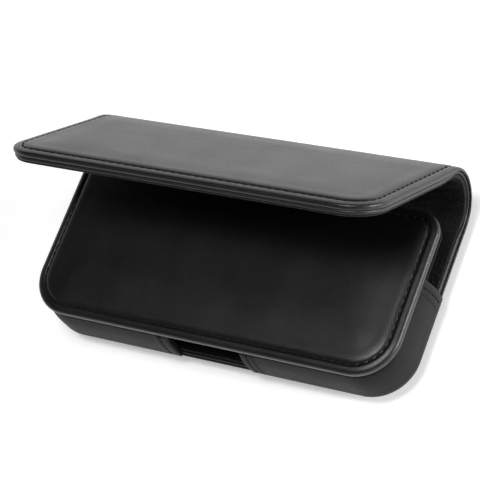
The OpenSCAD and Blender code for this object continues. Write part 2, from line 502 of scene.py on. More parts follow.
def round_over(inset: Array, radius: float) -> Array:
    """Returns how far a rounded edge drops, the whole radius at the edge itself."""
    left = np.clip(radius - inset, 0, radius)
    return radius - np.sqrt(radius**2 - left**2)


def steps(low: float, high: float, pitch: float) -> Array:
    """Returns both ends and even places between them, at most pitch apart."""
    return np.linspace(low, high, max(2, math.ceil((high - low) / pitch) + 1))


def quads(rows: int, columns: int, start: int = 0, closed: bool = False) -> list[tuple]:
    """Joins a grid of points with four-sided faces.

    Args:
        rows: how many rows of points there are.
        columns: how many points a row has.
        start: the first point's number.
        closed: whether each row's end meets its start.

    Returns:
        The points of each face.
    """
    faces = []
    for first in range(start, start + (rows - 1) * columns, columns):
        for c in range(columns if closed else columns - 1):
            a, b = first + c, first + (c + 1) % columns
            faces.append((a, b, b + columns, a + columns))
    return faces


def put(name: str, shape: bpy.types.ID) -> Piece:
    """Makes an object and links it to the scene.

    Args:
        name: the object's name.
        shape: its mesh, lamp or camera.

    Returns:
        The object.
    """
    made = bpy.data.objects.new(name, shape)
    bpy.context.scene.collection.objects.link(made)
    return made


def make_mesh(
    name: str, points: Array, faces: Iterable[Sequence[int]], worn: Array
) -> Piece:
    """Makes a closed, smooth mesh object whose faces point outwards.

    Args:
        name: the object's name.
        points: its points, one row each.
        faces: the points of each face.
        worn: how rubbed each point is, from 0 to 1.

    Returns:
        The object, in the scene.
    """
    mesh = bpy.data.meshes.new(name)
    mesh.from_pydata([tuple(p) for p in points], [], [tuple(f) for f in faces])
    rub = mesh.attributes.new(WORN, "FLOAT", "POINT")
    rub.data.foreach_set("value", np.asarray(worn, np.float32))
    shape = bmesh.new()
    shape.from_mesh(mesh)
    bmesh.ops.remove_doubles(shape, verts=shape.verts, dist=MERGE)
    bmesh.ops.dissolve_degenerate(shape, edges=shape.edges, dist=MERGE)
    bmesh.ops.recalc_face_normals(shape, faces=shape.faces)
    for face in shape.faces:
        face.smooth = True
    shape.to_mesh(mesh)
    shape.free()
    return put(name, mesh)


def dress(
    piece: Piece, finish: Finish, body: Union[str, None], *stands_for: str
) -> Piece:
    """Gives a piece its finish and its place on a body, and hides the nodes it stands for.

    Args:
        piece: the piece.
        finish: its finish.
        body: the body it rides on, or None, where the piece stays unparented with its transform
            baked into its mesh.
        *stands_for: the frame's nodes that it replaces.

    Returns:
        The piece.
    """
    piece.data.materials.clear()
    piece.data.materials.append(finish.material())
    if body is None:
        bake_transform(piece)
    else:
        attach(piece, body)
    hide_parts(*stands_for)
    log.info("%s: %d faces, %s", piece.name, len(piece.data.polygons), body or "bends")
    return piece


@dataclass(frozen=True)
class Outline:
    """A panel's outline in its own flat plane: x across, s along."""

    half: float
    low: float
    high: float
    low_r: float
    high_r: float
    arc_steps: int = 12

    @property
    def deep(self) -> float:
        """The inset at which both ends' corners have run out."""
        return max(self.low_r, self.high_r)

    def ring(self, inset: float, xs: Array, ss: Array) -> Array:
        """Gives the outline's points at an inset, anticlockwise.

        Args:
            inset: the distance inwards from the edge.
            xs: the places of the points across an end.
            ss: the places of the points along a side.

        Returns:
            The points, one row of x and s each.
        """
        low_c, high_c = max(self.low_r, inset), max(self.high_r, inset)
        side = np.concatenate([[self.low + low_c], ss[1:-1], [self.high - high_c]])
        edge = self.half - inset

        def end(centre: float, s: float) -> Array:
            """Returns the points along one end, between its corners."""
            reach = self.half - centre
            x = np.concatenate([[-reach], xs[1:-1], [reach]])
            return np.stack([x, np.full_like(x, s)], 1)

        def arc(sign: int, s: float, centre: float, start: float) -> Array:
            """Returns the points inside one corner's quarter turn."""
            turn = np.radians(
                start + 90 * np.arange(1, self.arc_steps) / self.arc_steps
            )
            r = centre - inset
            x = sign * (self.half - centre)
            return np.stack([x + r * np.cos(turn), s + r * np.sin(turn)], 1)

        return np.concatenate(
            [
                end(low_c, self.low + inset),
                arc(1, self.low + low_c, low_c, -90),
                np.stack([np.full_like(side, edge), side], 1),
                arc(1, self.high - high_c, high_c, 0),
                end(high_c, self.high - inset)[::-1],
                arc(-1, self.high - high_c, high_c, 90),
                np.stack([np.full_like(side, -edge), side[::-1]], 1),
                arc(-1, self.low + low_c, low_c, 180),
            ]
        )

    def loop(self, inset: float, pitch_x: float, pitch_s: float) -> tuple[Array, Array]:
        """Gives a closed line at an inset, for a seam.

        Args:
            inset: the distance inwards from the edge.
            pitch_x: the longest step across.
            pitch_s: the longest step along.

        Returns:
            The places across and along, the first place again at the end.
        """
        reach = self.half - self.deep
        along = steps(self.deep, self.high - self.deep, pitch_s)
        ring = self.ring(inset, steps(-reach, reach, pitch_x), along)
        ring = np.concatenate([ring, ring[:1]])
        return ring[:, 0], ring[:, 1]


@dataclass
class Slab:
    """A sheet of material with an outline, a face on each side and worked edges."""

    outline: Outline
    insets: Sequence[float]
    outer: Height
    inner: Height
    place: Place
    rows: Union[Array, None] = None
    pitch_x: float = 3 * MM
    pitch_s: float = 2.5 * MM
    rub: float = 0.35 * MM

    def build(self, name: str) -> Piece:
        """Builds the closed mesh.

        Args:
            name: the object's name.

        Returns:
            The object.
        """
        o, deep = self.outline, self.outline.deep
        xs = steps(-(o.half - deep), o.half - deep, self.pitch_x)
        ss = self.rows
        if ss is None:
            ss = steps(o.low + deep, o.high - deep, self.pitch_s)
        insets = [d for d in self.insets if d < deep] + [deep]
        rings = [o.ring(d, xs, ss) for d in insets]
        n = len(rings[0])
        core = np.array([(x, s) for s in ss for x in xs])
        across = o.half - abs(core[:, 0])
        along = np.minimum(core[:, 1] - o.low, o.high - core[:, 1])
        inset = np.concatenate([np.repeat(insets, n), np.minimum(across, along)])
        x, s = np.concatenate([*rings, core]).T
        faces = quads(len(insets), n, closed=True)
        faces += quads(len(ss), len(xs), len(insets) * n)
        count = len(x)
        faced = (self.outer(inset, x, s), self.inner(inset, x, s))
        sides = [self.place(x, s, h) for h in faced]
        back = [tuple(count + i for i in reversed(f)) for f in faces]
        rim = [(i, count + i, count + (i + 1) % n, (i + 1) % n) for i in range(n)]
        worn = np.concatenate([np.exp(-inset / self.rub)] * 2)
        return make_mesh(name, np.concatenate(sides), faces + back + rim, worn)


@dataclass
class Sweep:
    """A leather section carried along a path, with its ends rounded."""

    stations: Sequence[tuple]
    section: Callable[[float], Sequence[tuple]]
    rub: float = 0.5 * MM

    def build(self, name: str) -> Piece:
        """Builds the closed mesh.

        Args:
            name: the object's name.

        Returns:
            The object.
        """
        points, worn = [], []
        for (x, y), (nx, ny), end in self.stations:
            for inward, z in self.section(end):
                points.append((x - nx * inward, y - ny * inward, z))
                worn.append(math.exp(-end / self.rub))
        n, m = len(self.section(0.0)), len(self.stations)
        faces = quads(m, n, closed=True)
        faces += [tuple(range(n)), tuple((m - 1) * n + i for i in reversed(range(n)))]
        return make_mesh(name, np.array(points), faces, np.array(worn))


# ---- sewing


class StitchInput(Enum):
    """The stitch tree's inputs, each with its socket's name and kind."""

    PITCH = ("Pitch", "Float")
    LENGTH = ("Stitch length", "Float")
    THREAD = ("Thread", "Float")
    SLANT = ("Slant", "Float")
    SEED = ("Seed", "Int")
    FINISH = ("Finish", "Material")


@cache
def stitch_tree() -> bpy.types.NodeTree:
    """Builds the tree that lays thread ovals along a path.

    Returns:
        The node tree.
    """
    tree = bpy.data.node_groups.new("stitches", "GeometryNodeTree")
    sockets = [("Geometry", "Geometry"), *(socket.value for socket in StitchInput)]
    ways = [(*socket, "INPUT") for socket in sockets] + [(*sockets[0], "OUTPUT")]
    for word, kind, way in ways:
        tree.interface.new_socket(word, in_out=way, socket_type="NodeSocket" + kind)
    graph = Graph(tree)
    add = graph.value
    given = graph.node("NodeGroupInput", {}, {}).outputs
    path, pitch, length, thread, slant, seed, finish = (
        Value(graph, given[word]) for word, _ in sockets
    )
    seam = add("GeometryNodeMeshToCurve", {}, {"Mesh": path})
    spaced = {"Curve": seam, "Length": pitch}
    marks = add("GeometryNodeResampleCurve", {"mode": "LENGTH"}, spaced)
    round_one = {"Segments": 8, "Rings": 6, "Radius": 0.5}
    oval = add("GeometryNodeMeshUVSphere", {}, round_one)
    smooth = {"Geometry": oval, "Shade Smooth": True}
    soft = add("GeometryNodeSetShadeSmooth", {}, smooth)
    size = add("ShaderNodeCombineXYZ", {}, {0: thread, 1: thread * 1.1, 2: length})
    lying = {"Geometry": soft, "Rotation": (0, math.pi / 2, 0), "Scale": size}
    laid = add("GeometryNodeTransform", {}, lying)
    tangent = add("GeometryNodeInputTangent", {}, {})
    align = "FunctionNodeAlignRotationToVector"
    along = add(align, {"axis": "X"}, {"Vector": tangent})
    upward = add(
        "GeometryNodeInputNamedAttribute", {"data_type": "FLOAT_VECTOR"}, {"Name": UP}
    )
    upright = add(
        align, {"axis": "Z", "pivot_axis": "X"}, {"Rotation": along, "Vector": upward}
    )
    spread = {2: -0.035, 3: 0.035, "Seed": seed}
    wander = add("FunctionNodeRandomValue", {"data_type": "FLOAT"}, spread, 1)
    lean = add("ShaderNodeCombineXYZ", {}, {2: wander + slant})
    tilt = add("FunctionNodeEulerToRotation", {}, {0: lean})
    turned = add(
        "FunctionNodeRotateRotation", {"rotation_space": "LOCAL"}, {0: upright, 1: tilt}
    )
    copies = {"Points": marks, "Instance": laid, "Rotation": turned}
    sewn = add("GeometryNodeInstanceOnPoints", {}, copies)
    solid = add("GeometryNodeRealizeInstances", {}, {"Geometry": sewn})
    given_thread = {"Geometry": solid, "Material": finish}
    finished = add("GeometryNodeSetMaterial", {}, given_thread)
    graph.node("NodeGroupOutput", {}, {0: finished})
    return tree


@dataclass(frozen=True)
class Stitching:
    """Stitches along seams: thread ovals laid on a path by Geometry Nodes."""

    pitch: float = 3.0 * MM
    length: float = 2.1 * MM
    thread: float = 0.68 * MM
    slant: float = math.radians(4.0)
    seed: int = 7

    def sew(self, name: str, seams: Sequence[tuple[Array, Array]]) -> Piece:
        """Sews along seams and gives the thread as one plain mesh.

        Args:
            name: the thread's name.
            seams: the points of each seam and the upward normal at each.

        Returns:
            The object.
        """
        points = np.concatenate([p for p, _ in seams])
        normals = np.concatenate([n for _, n in seams])
        edges, start = [], 0
        for path, _ in seams:
            edges += [(start + i, start + i + 1) for i in range(len(path) - 1)]
            start += len(path)
        mesh = bpy.data.meshes.new(name + "_path")
        mesh.from_pydata([tuple(p) for p in points], edges, [])
        upward = mesh.attributes.new(UP, "FLOAT_VECTOR", "POINT")
        upward.data.foreach_set("vector", normals.astype(np.float32).ravel())
        path = put(name + "_path", mesh)
        modifier = path.modifiers.new("stitches", "NODES")
        modifier.node_group = stitch_tree()
        keys = {
            item.name: item.identifier
            for item in stitch_tree().interface.items_tree
            if item.in_out == "INPUT"
        }
        given = (self.pitch, self.length, self.thread, self.slant, self.seed)
        for socket, setting in zip(StitchInput, (*given, THREAD.material())):
            modifier[keys[socket.value[0]]] = setting
        graph = bpy.context.evaluated_depsgraph_get()
        plain = bpy.data.meshes.new_from_object(path.evaluated_get(graph))
        plain.name = name
        path.modifiers.remove(modifier)
        bpy.data.objects.remove(path)
        return put(name, plain)


STITCHES = Stitching()
SMALL_STITCHES = Stitching(2.4 * MM, 1.8 * MM, 0.5 * MM, seed=11)


# ---- sizes


@dataclass
class Sizes:
    """The pouch's sizes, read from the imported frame, and the fold's path."""

    flap_margin: float = 8 * MM
    seam: float = 3.2 * MM
    puff_in: float = 2.2 * MM
    puff_width: float = 1.7 * MM
    shoulder: float = 13 * MM
    bottom_r: float = 15 * MM
    mouth_r: float = 8 * MM
    flap_r: float = 12 * MM
    skin: float = 1.2 * MM
    bend_share: float = 0.43

    def __post_init__(self) -> None:
        """Reads the boxes of the nodes that the sizes come from."""
        low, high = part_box("back_leather")
        self.half = high.x
        self.bottom = low.y
        self.back_h = high.y - low.y
        self.fold_y = high.y
        self.fold_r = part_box("fold_leather")[1].y - self.fold_y
        self.fold_z = low.z + self.fold_r
        hinge = frame["joints"][0]
        closed = math.radians(hinge["range_deg"][1])
        self.turn = math.pi - closed
        reach = (hinge["pos_m"][1] - self.fold_y) * (1 - math.cos(closed))
        flap_h = self.fold_y + reach - self.bottom - self.flap_margin
        self.flap_s = self.back_h + self.fold_r * self.turn
        self.length = self.flap_s + flap_h
        self.gusset_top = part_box("gusset_right")[1].y - self.bottom
        pad_low, pad_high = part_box("front_leather")
        self.pad_z = pad_low.z
        self.front_h = pad_high.y - pad_low.y
        self.bend_start = (0, 0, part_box("back_lining")[1].z)
        self.bend_end = (0, 0, self.fold_z + self.fold_r * self.bend_share)

    def wrap(self, x: Array, s: Array, h: Array) -> Array:
        """Lays points on the path from the back, round the fold and up the flap.

        Args:
            x: the places across.
            s: the places along the path's outer surface.
            h: the heights outwards from that surface.

        Returns:
            The points.
        """
        turn = np.clip((s - self.back_h) / self.fold_r, 0, self.turn)
        past = np.minimum(s - self.back_h, 0) + np.maximum(s - self.flap_s, 0)
        r = self.fold_r + h
        y = self.fold_y + r * np.sin(turn) + past * np.cos(turn)
        z = self.fold_z - r * np.cos(turn) + past * np.sin(turn)
        return np.stack([x, y, z], 1)

    def wrap_normal(self, s: Array) -> Array:
        """Returns the outward normals along the path."""
        turn = np.clip((s - self.back_h) / self.fold_r, 0, self.turn)
        return np.stack([np.zeros_like(turn), np.sin(turn), -np.cos(turn)], 1)

    def flat(self, x: Array, s: Array, h: Array) -> Array:
        """Returns points laid flat, h above the resting surface."""
        return np.stack([x, self.bottom + s, h], 1)

    def puffed(self, d: Array) -> Array:
        """Returns the ridge that stuffing makes beside a seam, of height 1."""
        return hump(d, self.seam + self.puff_in, self.puff_width)

    def rolled(self, d: Array) -> Array:
        """Returns the turn of the rim beyond its seam, 1 at the edge."""
        return np.clip(1 - d / self.seam, 0, 1) ** 2


SIZES = Sizes()
WORKED_INSETS = tuple(
    d * MM
    for d in (0, 0.04, 0.12, 0.25, 0.4, 0.6, 1.0, 1.6, 2.1, 2.5, 2.8, 3.0, 3.2,
              3.4, 3.6, 3.9, 4.3, 4.9, 5.7, 6.7, 7.6, 8.2, 9.5, 11.5, 13.2)
)
FOAM_INSETS = tuple(d * MM for d in (0, 0.1, 0.3, 0.6, 1.5))
FOAM_CORNER = 2 * MM
FOAM_EDGE = 0.4 * MM
FOAM_GAP = 0.04 * MM
FOAM_LEAST = 0.2 * MM
GLUE = 0.02 * MM


def padding(
    name: str, outline: Outline, crest: Height, inset: float, low: float, place: Place
) -> Piece:
    """Builds foam that fills the hollow under a leather face.

    Args:
        name: the foam's name.
        outline: the foam's outline.
        crest: the leather's finished face.
        inset: how far the foam's edge stands in from the leather's.
        low: the height of the face that it is glued to.
        place: how it is laid.

    Returns:
        The foam.
    """

    def top(d: Array, x: Array, s: Array) -> Array:
        """Returns the heights of the foam's face under the leather."""
        full = crest(d + inset, x, s) - SIZES.skin - FOAM_GAP
        return np.maximum(full - round_over(d, FOAM_EDGE), low + FOAM_LEAST)

    def base(d: Array, x: Array, s: Array) -> Array:
        """Returns the heights of the foam's glued face."""
        return np.full_like(x, low)

    return Slab(outline, FOAM_INSETS, top, base, place).build(name)


# ---- back, fold and flap


@dataclass
class Wrap:
    """The one wrap of back, fold and flap: cover, backing and lining."""

    sizes: Sizes
    edge: float = 0.5 * MM
    bead: float = 0.55 * MM
    crown: float = 0.8 * MM
    puff: float = 0.18 * MM
    groove: float = 0.32 * MM
    sag: float = 0.12 * MM
    back_roll: float = 0.2 * MM
    flap_roll: float = 0.55 * MM
    flap_rim: float = 2.4 * MM
    hollow_in: tuple = (7.7 * MM, 8.1 * MM)
    foam_in: float = 8.3 * MM
    backing_set: float = 0.55 * MM
    lining_set: float = 1.05 * MM
    tucked_in: float = 1.35 * MM
    ripple: float = 0.22 * MM
    below: float = 2.0 * MM
    above: float = 3.2 * MM
    fold_in: float = 2.2 * MM
    flap_in: float = 3.7 * MM
    linings: tuple = (4.0 * MM, 3.6 * MM, 4.5 * MM)
    lift: float = 0.06 * MM

    def on_flap(self, s: Array) -> Array:
        """Returns 0 on the back and fold and 1 on the flap, rising smoothly."""
        return ease(s, self.sizes.flap_s - 6 * MM, self.sizes.flap_s + 8 * MM)

    def to_fold(self, s: Array) -> Array:
        """Returns 0 on the back and 1 from the fold on, rising smoothly."""
        return ease(s, self.sizes.back_h - 5 * MM, self.sizes.back_h + 2 * MM)

    def rows(self, deep: float) -> Array:
        """Gives the places of the mesh's rows along the path.

        Args:
            deep: how far the first and last rows stand in from the ends.

        Returns:
            The places.
        """
        z = self.sizes
        spans = [
            steps(deep, z.gusset_top, 2.5 * MM),
            z.gusset_top + np.array([0.15, 0.4, 0.7]) * MM,
            steps(z.gusset_top + 2 * MM, z.back_h - 4 * MM, 2.5 * MM),
            steps(z.back_h - 2.5 * MM, z.flap_s + 9 * MM, 1.0 * MM),
            steps(z.flap_s + 11 * MM, z.length - deep, 2.5 * MM),
        ]
        return np.unique(np.round(np.concatenate(spans), 6))

    def crest(self, d: Array, x: Array, s: Array) -> Array:
        """Gives the height of the cover's finished face.

        Args:
            d: the insets from the edge.
            x: the places across.
            s: the places along the path.

        Returns:
            The heights.
        """
        z = self.sizes
        flap = self.on_flap(s)
        soft = 0.35 + 0.65 * flap
        raised = self.crown * swell(d, z.seam, z.shoulder) * flap
        puffed = self.puff * z.puffed(d) * soft
        sewn = -self.groove * hump(d, z.seam, 0.55 * MM)
        roll = self.back_roll + (self.flap_roll - self.back_roll) * flap
        rolled = -roll * z.rolled(d)
        waves = np.sin(x * 61 + 0.8) * np.sin(s * 83 + 0.4)
        sag = self.sag * waves * ease(d, 6 * MM, 20 * MM)
        return raised + puffed + sewn + rolled + sag * flap - round_over(d, self.edge)

    def cover_back(self, d: Array, x: Array, s: Array) -> Array:
        """Gives the height of the cover's hidden face, hollow over the flap's foam.

        Args:
            d: the insets from the edge.
            x: the places across.
            s: the places along the path.

        Returns:
            The heights.
        """
        z = self.sizes
        flap = self.on_flap(s)
        soft = round_over(d, 0.2 * MM) * (1 - flap) + round_over(d, 0.85 * MM) * flap
        plain = -(z.skin + (self.flap_rim - z.skin) * flap) + soft
        start = ease(s, z.flap_s + 7 * MM, z.flap_s + 8 * MM)
        hollow = ease(d, *self.hollow_in) * start
        return plain * (1 - hollow) + (self.crest(d, x, s) - z.skin) * hollow

    def backing_top(self, d: Array, x: Array, s: Array) -> Array:
        """Gives the height of the backing's face towards the cover.

        Args:
            d: the insets from the edge.
            x: the places across; not used.
            s: the places along the path.

        Returns:
            The heights.
        """
        z = self.sizes
        rim = z.skin + (self.flap_rim - z.skin) * self.on_flap(s)
        soft = self.bead * 0.72 + self.bead * 0.28 * self.on_flap(s)
        return -rim - round_over(d, soft * 0.95)

    def backing_low(self, d: Array, x: Array, s: Array) -> Array:
        """Gives the height of the backing's face towards the lining.

        Args:
            d: the insets from the edge.
            x: the places across; not used.
            s: the places along the path.

        Returns:
            The heights.
        """
        z = self.sizes
        outer = 1 - ease(d, 7.2 * MM, 7.6 * MM)
        open_rim = ease(s, z.gusset_top + 0.1 * MM, z.gusset_top + 0.75 * MM) * outer
        back = self.below + (self.above - self.below) * open_rim
        fold = back + (self.fold_in - back) * self.to_fold(s)
        depth = fold + (self.flap_in - self.fold_in) * self.on_flap(s)
        return -depth + round_over(d, self.bead * 0.72)

    def lining_depth(self, s: Array, levels: tuple) -> Array:
        """Returns the depths of a lining's face, from those on back, fold and flap."""
        level = levels[0] + (levels[1] - levels[0]) * self.to_fold(s)
        return level + (levels[2] - levels[1]) * self.on_flap(s)

    def lining_top(self, d: Array, x: Array, s: Array) -> Array:
        """Returns the heights of the lining's glued face."""
        levels = (self.above, self.fold_in, self.flap_in)
        return -self.lining_depth(s, levels) - round_over(d, 0.3 * MM)

    def lining_low(self, d: Array, x: Array, s: Array) -> Array:
        """Gives the height of the lining's plush face, which ripples in the fold.

        Args:
            d: the insets from the edge.
            x: the places across.
            s: the places along the path.

        Returns:
            The heights.
        """
        z = self.sizes
        out = 1 - ease(s, z.flap_s - 4 * MM, z.flap_s + 2 * MM)
        in_fold = ease(s, z.back_h, z.back_h + 6 * MM) * out
        ripple = self.ripple * np.sin(s * 1250 + 5 * np.sin(x * 48)) * in_fold
        ripple = ripple * ease(d, 1 * MM, 4 * MM)
        return -self.lining_depth(s, self.linings) + round_over(d, 0.35 * MM) - ripple

    def tucked(self, x: Array, s: Array, h: Array) -> Array:
        """Lays points of the lining, drawn in between the gussets.

        Args:
            x: the places across.
            s: the places along the path's outer surface.
            h: the heights outwards from that surface.

        Returns:
            The points.
        """
        z = self.sizes
        between = 1 - ease(s, z.gusset_top, z.gusset_top + 1.2 * MM)
        return z.wrap(x * (1 - between * self.tucked_in / z.half), s + 0 * x, h)

    def layer(
        self, name: str, setback: float, outer: Height, inner: Height, place: Place,
        finish: Finish, word: str,
    ) -> Piece:
        """Builds and dresses one layer of the wrap.

        Args:
            name: the layer's name.
            setback: how far its edge stands in from the cover's.
            outer: its face outwards.
            inner: its face inwards.
            place: how it is laid on the path.
            finish: its finish.
            word: the end of the names of the nodes that it stands for.

        Returns:
            The layer.
        """
        z, end = self.sizes, self.sizes.length - setback
        radii = (z.bottom_r - setback, z.flap_r - setback)
        outline = Outline(z.half - setback, setback, end, *radii)
        rows = self.rows(setback + outline.deep)
        piece = Slab(outline, WORKED_INSETS, outer, inner, place, rows).build(name)
        nodes = (f"{part}_{word}" for part in ("back", "fold", "flap"))
        return dress(piece, finish, None, *nodes)

    def layers(self) -> None:
        """Builds and dresses the cover, the backing and the lining."""
        z = self.sizes
        faces = (self.crest, self.cover_back)
        cover = self.layer("cover", 0, *faces, z.wrap, OUTER_LEATHER, "leather")
        name, faces = "cover_backing", (self.backing_top, self.backing_low)
        look = (BACKING_LEATHER, "backing")
        backing = self.layer(name, self.backing_set, *faces, z.wrap, *look)
        name, faces = "cover_lining", (self.lining_top, self.lining_low)
        look = (LINING, "lining")
        lining = self.layer(name, self.lining_set, *faces, self.tucked, *look)

    def seam_line(self, face: Height, side: int) -> tuple[Array, Array]:
        """Gives a seam all round the wrap, on one of its faces.

        Args:
            face: the face that it is sewn on.
            side: 1 on the cover, -1 on the lining.

        Returns:
            The points and their upward normals.
        """
        z = self.sizes
        outline = Outline(z.half, 0, z.length, z.bottom_r, z.flap_r, 14)
        x, s = outline.loop(z.seam, 1 * MM, 0.5 * MM)
        h = face(np.full_like(x, z.seam), x, s) + side * self.lift
        return z.wrap(x, s, h), z.wrap_normal(s) * side

    def seams(self) -> None:
        """Sews the seam round the wrap, and the part of it that shows inside."""
        points, normals = self.seam_line(self.lining_low, -1)
        shown = points[:, 2] > self.sizes.fold_z + 4 * MM
        first = int(np.argmax(shown))
        last = len(shown) - int(np.argmax(shown[::-1]))
        inside = (points[first:last], normals[first:last])
        thread = STITCHES.sew("cover_thread", [self.seam_line(self.crest, 1), inside])
        dress(thread, THREAD, None, "back_thread", "flap_thread")

    def foam(self) -> None:
        """Builds the flap's padding, which fills the hollow of the cover."""
        z, inset = self.sizes, self.foam_in
        ends = (z.flap_s + inset, z.length - inset)
        outline = Outline(z.half - inset, *ends, FOAM_CORNER, z.flap_r - inset, 6)
        low = -(z.skin + GLUE)
        foam = padding("flap_padding", outline, self.crest, inset, low, z.wrap)
        dress(foam, FOAM, FLAP, "flap_foam")


# ---- front panel


@dataclass
class Front:
    """The padded front panel: leather, foam, backing and lining."""

    sizes: Sizes
    rim: float = 2.4 * MM
    edge: float = 0.8 * MM
    crown: float = 1.8 * MM
    shoulder: float = 20 * MM
    puff: float = 0.15 * MM
    groove: float = 0.4 * MM
    sag: float = 0.1 * MM
    roll: float = 0.85 * MM
    hollow_in: tuple = (5.2 * MM, 6.2 * MM)
    foam_in: float = 6.4 * MM
    lift: float = 0.08 * MM

    def outline(self) -> Outline:
        """Returns the front panel's outline."""
        z = self.sizes
        return Outline(z.half, 0, z.front_h, z.bottom_r, z.mouth_r)

    def crest(self, d: Array, x: Array, s: Array) -> Array:
        """Gives the height of the pad's face, puffed between its seams.

        Args:
            d: the insets from the edge.
            x: the places across.
            s: the places along.

        Returns:
            The heights above the resting surface.
        """
        z = self.sizes
        rim = z.pad_z + self.rim
        middle = np.cos(np.clip(x / z.half, -1, 1) * 1.2)
        raised = self.crown * swell(d, z.seam, self.shoulder) * (0.85 + 0.15 * middle)
        rolled = -self.roll * z.rolled(d)
        puffed = self.puff * z.puffed(d)
        sewn = -self.groove * hump(d, z.seam, 0.6 * MM)
        wave = self.sag * np.sin(x * 73) * np.sin(s * 96 + 1) * ease(d, 6 * MM, 20 * MM)
        return rim + raised + puffed + sewn + wave + rolled - round_over(d, self.edge)

    def hollow(self, d: Array, x: Array, s: Array) -> Array:
        """Gives the height of the leather's hidden face, raised over the foam.

        Args:
            d: the insets from the edge.
            x: the places across.
            s: the places along the path.

        Returns:
            The heights.
        """
        z = self.sizes
        over = ease(d, *self.hollow_in)
        flat = z.pad_z + round_over(d, 0.25 * MM)
        return flat * (1 - over) + (self.crest(d, x, s) - z.skin) * over

    def pieces(self) -> None:
        """Builds and dresses the front panel's soft pieces."""
        z, inset = self.sizes, self.foam_in
        pad = Slab(self.outline(), WORKED_INSETS, self.crest, self.hollow, z.flat)
        pad = dress(pad.build("front_pad"), OUTER_LEATHER, CASE, "front_leather")
        ends, low = (inset, z.front_h - inset), z.pad_z + GLUE
        outline = Outline(z.half - inset, *ends, z.bottom_r - inset, FOAM_CORNER, 8)
        foam = padding("front_padding", outline, self.crest, inset, low, z.flat)
        dress(foam, FOAM, CASE, "front_foam")
        backing, _ = self.layer("front_backing", 0.35 * MM, BACKING_LEATHER, 0.45 * MM)
        lining, flat = self.layer("front_lining", 0.6 * MM, LINING, 0.3 * MM)

    def layer(
        self, node: str, setback: float, finish: Finish, soft: float
    ) -> tuple[Piece, tuple]:
        """Builds one flat layer in the place of its node.

        Args:
            node: the node that it stands for.
            setback: how far its edge stands in.
            finish: its finish.
            soft: the rounding of its edges.

        Returns:
            The layer, and its width and height.
        """
        z = self.sizes
        low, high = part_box(node)
        half = min(z.half - setback, high.x)
        start = max(low.y - z.bottom, setback)
        end = min(high.y - z.bottom, z.front_h - setback)
        outline = Outline(half, start, end, z.bottom_r - setback, z.mouth_r - setback)

        def top(d: Array, x: Array, s: Array) -> Array:
            """Returns the heights of the upper face."""
            return high.z - round_over(d, soft)

        def base(d: Array, x: Array, s: Array) -> Array:
            """Returns the heights of the lower face."""
            return low.z + round_over(d, soft)

        slab = Slab(outline, WORKED_INSETS, top, base, z.flat)
        piece = dress(slab.build(node + "_panel"), finish, CASE, node)
        return piece, (round(2 * half, 4), round(end - start, 4))

    def seam(self) -> None:
        """Sews the seam round the front panel."""
        z = self.sizes
        x, s = self.outline().loop(z.seam, 1 * MM, 1 * MM)
        h = self.crest(np.full_like(x, z.seam), x, s) + self.lift
        up = np.tile([0.0, 0.0, 1.0], (len(x), 1))
        thread = STITCHES.sew("front_seam", [(z.flat(x, s, h), up)])
        dress(thread, THREAD, CASE, "front_thread")


# ---- gussets


class Side(Enum):
    """The pouch's two sides, by the sign of x."""

    LEFT = -1
    RIGHT = 1

    @property
    def word(self) -> str:
        """The side's name in lower case."""
        return self.name.lower()


